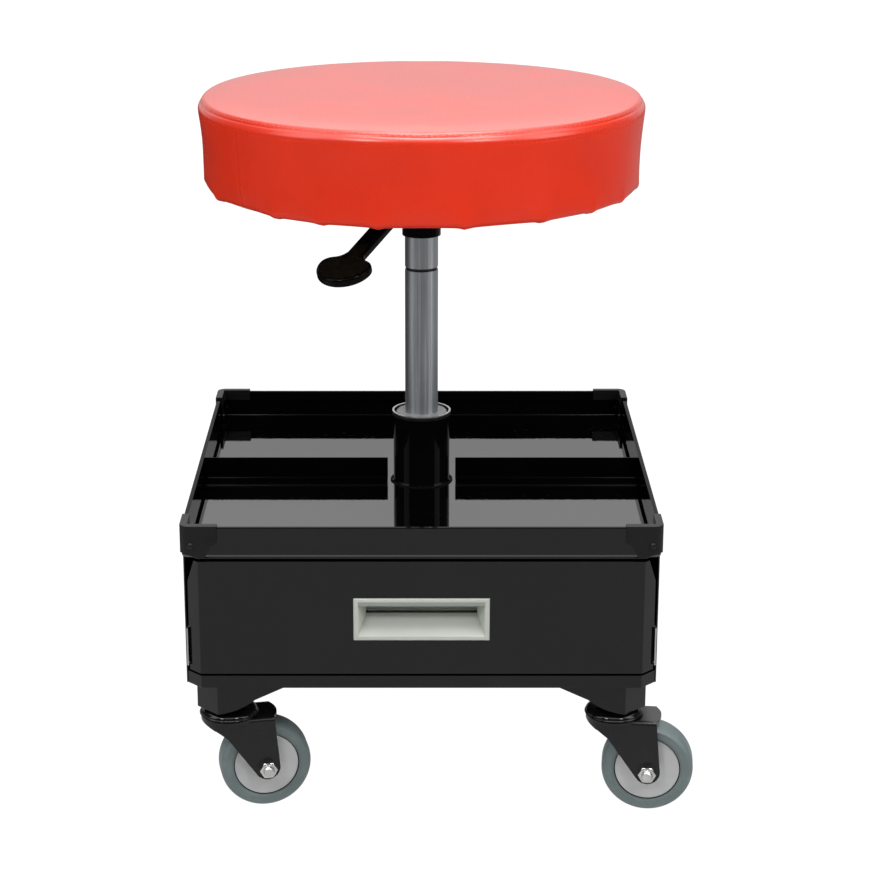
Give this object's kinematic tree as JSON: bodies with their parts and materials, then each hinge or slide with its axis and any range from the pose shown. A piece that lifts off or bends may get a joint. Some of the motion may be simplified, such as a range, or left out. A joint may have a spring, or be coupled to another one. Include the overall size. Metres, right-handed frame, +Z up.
{
  "type": "creeper seat",
  "caption": "Round padded creeper seat on a gas lift with a release lever, over a divided square tool tray and a drawer cabinet on swivel casters.",
  "frame": {"origin": "on the floor under the axis of the lift", "axes": "+Z up along the lift, -Y to the drawer's front, +X to the right of someone facing the drawer"},
  "size_m": [0.4486, 0.3856, 0.568],
  "materials": {
    "cabinet_paint": "smooth gloss black paint on folded sheet",
    "drawer_paint": "gloss black paint",
    "tray_paint": "mirror gloss black paint",
    "post_paint": "gloss black paint",
    "leg_paint": "gloss black paint",
    "caster_paint": "gloss black electrocoat",
    "cap_plastic": "fine textured black moulding",
    "screw_black": "black screw",
    "slide_zinc": "zinc plated",
    "fastener_zinc": "bright zinc plated",
    "bearing_steel": "greased steel",
    "ring_steel": "bright ring",
    "rod_chrome": "ground and chromed rod",
    "lift_steel": "satin drawn steel",
    "sleeve_plastic": "grey acetal",
    "button_brass": "turned brass",
    "lever_steel": "black steel flat",
    "lever_plastic": "polished black moulding",
    "handle_plastic": "pale grey moulding",
    "hub_plastic": "light grey nylon",
    "tyre_rubber": "blue-grey non-marking rubber",
    "seat_vinyl": "smooth red vinyl",
    "seat_foam": "upholstery foam",
    "board_wood": "plywood"
  },
  "bodies": {
    "base": {"cabinet_shell": "cabinet_paint", "cabinet_floor": "cabinet_paint", "corner_leg_front_left": "leg_paint", "corner_leg_front_right": "leg_paint", "corner_leg_rear_left": "leg_paint", "corner_leg_rear_right": "leg_paint", "tray_pan": "tray_paint", "tray_divider_left": "tray_paint", "tray_divider_right": "tray_paint", "tray_corner_caps": "cap_plastic", "tray_screws": "screw_black", "slide_channel_left": "slide_zinc", "slide_channel_right": "slide_zinc", "post_tube": "post_paint", "post_guide_sleeve": "sleeve_plastic", "post_collar_ring": "ring_steel", "post_socket": "post_paint", "thrust_washer": "bearing_steel", "caster_stems": "fastener_zinc", "caster_nuts": "fastener_zinc", "caster_domes": "caster_paint", "caster_ball_rings": "bearing_steel"},
    "lift_rod": {"piston_rod": "rod_chrome", "thrust_bearing": "bearing_steel", "rod_clip": "bearing_steel"},
    "seat": {"lift_cylinder": "lift_steel", "seat_collar": "post_paint", "seat_plate": "post_paint", "seat_bolts": "fastener_zinc", "seat_board": "board_wood", "seat_foam": "seat_foam", "seat_cover": "seat_vinyl", "lever_pin": "fastener_zinc"},
    "lever": {"lever_arm": "lever_steel", "lever_paddle": "lever_plastic"},
    "valve_button": {"release_button": "button_brass"},
    "drawer": {"drawer_front": "cabinet_paint", "drawer_pan": "drawer_paint", "drawer_handle": "handle_plastic", "drawer_runner_left": "slide_zinc", "drawer_runner_right": "slide_zinc", "drawer_rivets": "fastener_zinc"},
    "caster_front_left": {"fork_front_left": "caster_paint", "axle_front_left": "fastener_zinc"},
    "wheel_front_left": {"wheel_hub_front_left": "hub_plastic", "tyre_front_left": "tyre_rubber"},
    "caster_front_right": {"fork_front_right": "caster_paint", "axle_front_right": "fastener_zinc"},
    "wheel_front_right": {"wheel_hub_front_right": "hub_plastic", "tyre_front_right": "tyre_rubber"},
    "caster_rear_left": {"fork_rear_left": "caster_paint", "axle_rear_left": "fastener_zinc"},
    "wheel_rear_left": {"wheel_hub_rear_left": "hub_plastic", "tyre_rear_left": "tyre_rubber"},
    "caster_rear_right": {"fork_rear_right": "caster_paint", "axle_rear_right": "fastener_zinc"},
    "wheel_rear_right": {"wheel_hub_rear_right": "hub_plastic", "tyre_rear_right": "tyre_rubber"}
  },
  "joints": [
    {"name": "seat_spin", "type": "hinge", "parent": "base", "child": "lift_rod", "pos_m": [0, 0, 0.135], "axis": [0, 0, 1], "continuous": true},
    {"name": "seat_lift", "type": "slide", "parent": "lift_rod", "child": "seat", "axis": [0, 0, 1], "range_m": [-0.11, 0]},
    {"name": "lever_pull", "type": "hinge", "parent": "seat", "child": "lever", "pos_m": [-0.00954, -0.01758, 0.4838], "axis": [-0.8788, 0.4772, 0], "range_deg": [0, 8], "stiffness_Nm_per_rad": 1, "springref_deg": -17.19},
    {"name": "valve_push", "type": "slide", "parent": "seat", "child": "valve_button", "axis": [0, 0, -1], "range_m": [0, 0.0033]},
    {"name": "drawer_slide", "type": "slide", "parent": "base", "child": "drawer", "axis": [0, -1, 0], "range_m": [0, 0.25]},
    {"name": "swivel_front_left", "type": "hinge", "parent": "base", "child": "caster_front_left", "pos_m": [-0.158, -0.158, 0.082], "axis": [0, 0, 1], "continuous": true},
    {"name": "roll_front_left", "type": "hinge", "parent": "caster_front_left", "child": "wheel_front_left", "pos_m": [-0.13012, -0.15207, 0.0375], "axis": [-0.2079, 0.9781, 0], "continuous": true},
    {"name": "swivel_front_right", "type": "hinge", "parent": "base", "child": "caster_front_right", "pos_m": [0.158, -0.158, 0.082], "axis": [0, 0, 1], "continuous": true},
    {"name": "roll_front_right", "type": "hinge", "parent": "caster_front_right", "child": "wheel_front_right", "pos_m": [0.18637, -0.16073, 0.0375], "axis": [0.0958, 0.9954, 0], "continuous": true},
    {"name": "swivel_rear_left", "type": "hinge", "parent": "base", "child": "caster_rear_left", "pos_m": [-0.158, 0.158, 0.082], "axis": [0, 0, 1], "continuous": true},
    {"name": "roll_rear_left", "type": "hinge", "parent": "caster_rear_left", "child": "wheel_rear_left", "pos_m": [-0.18637, 0.16073, 0.0375], "axis": [-0.0958, -0.9954, 0], "continuous": true},
    {"name": "swivel_rear_right", "type": "hinge", "parent": "base", "child": "caster_rear_right", "pos_m": [0.158, 0.158, 0.082], "axis": [0, 0, 1], "continuous": true},
    {"name": "roll_rear_right", "type": "hinge", "parent": "caster_rear_right", "child": "wheel_rear_right", "pos_m": [0.13012, 0.15207, 0.0375], "axis": [0.2079, -0.9781, 0], "continuous": true}
  ],
  "couplings": [
    {"joint": "valve_push", "follows": "lever_pull", "m_per_rad": 0.023}
  ]
}
